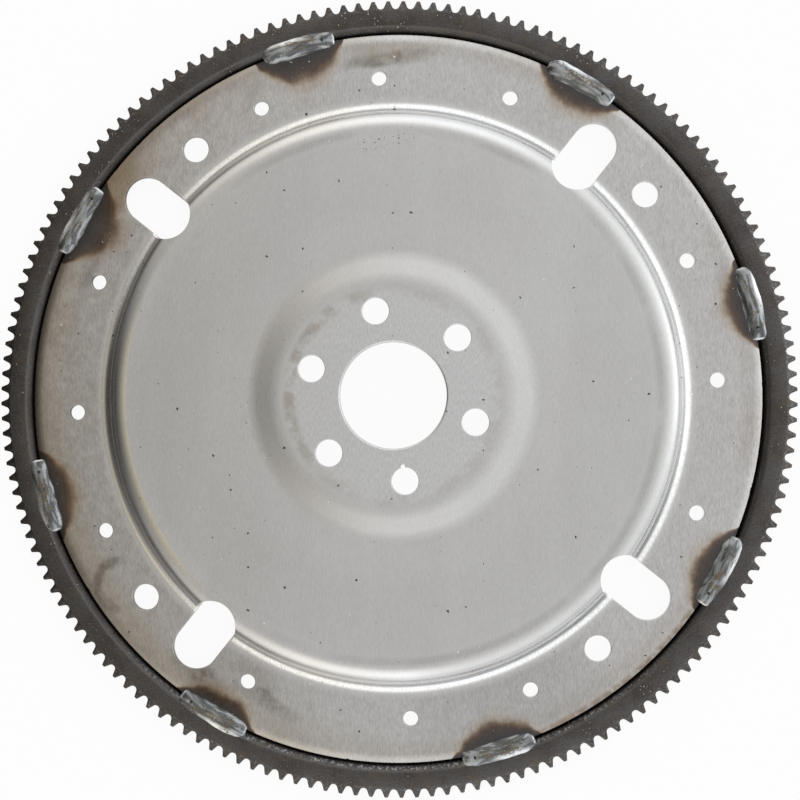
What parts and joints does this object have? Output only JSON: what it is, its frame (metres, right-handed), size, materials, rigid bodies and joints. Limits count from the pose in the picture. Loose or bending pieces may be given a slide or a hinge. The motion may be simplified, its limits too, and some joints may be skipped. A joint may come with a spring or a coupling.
{
  "type": "flexplate",
  "caption": "Pressed steel flexplate with a raised hub, converter stud holes, access slots and a toothed starter ring stitch-welded to its rim.",
  "frame": {"origin": "centre of the starter ring's rear face, on the plate's axis", "axes": "+Z along the axis towards the crankshaft, +X through a converter stud hole"},
  "size_m": [0.3604, 0.3604, 0.025],
  "materials": {
    "plate": "bare cold-rolled sheet, fine grain",
    "ring_gear": "dark oxide scale, oiled",
    "weld": "bright weld metal with brown slag"
  },
  "bodies": {
    "root": {"plate": "plate", "ring_gear": "ring_gear", "weld_bead_1": "weld", "weld_bead_2": "weld", "weld_bead_3": "weld", "weld_bead_4": "weld", "weld_bead_5": "weld", "weld_bead_6": "weld", "weld_bead_7": "weld", "weld_bead_8": "weld"}
  },
  "joints": []
}
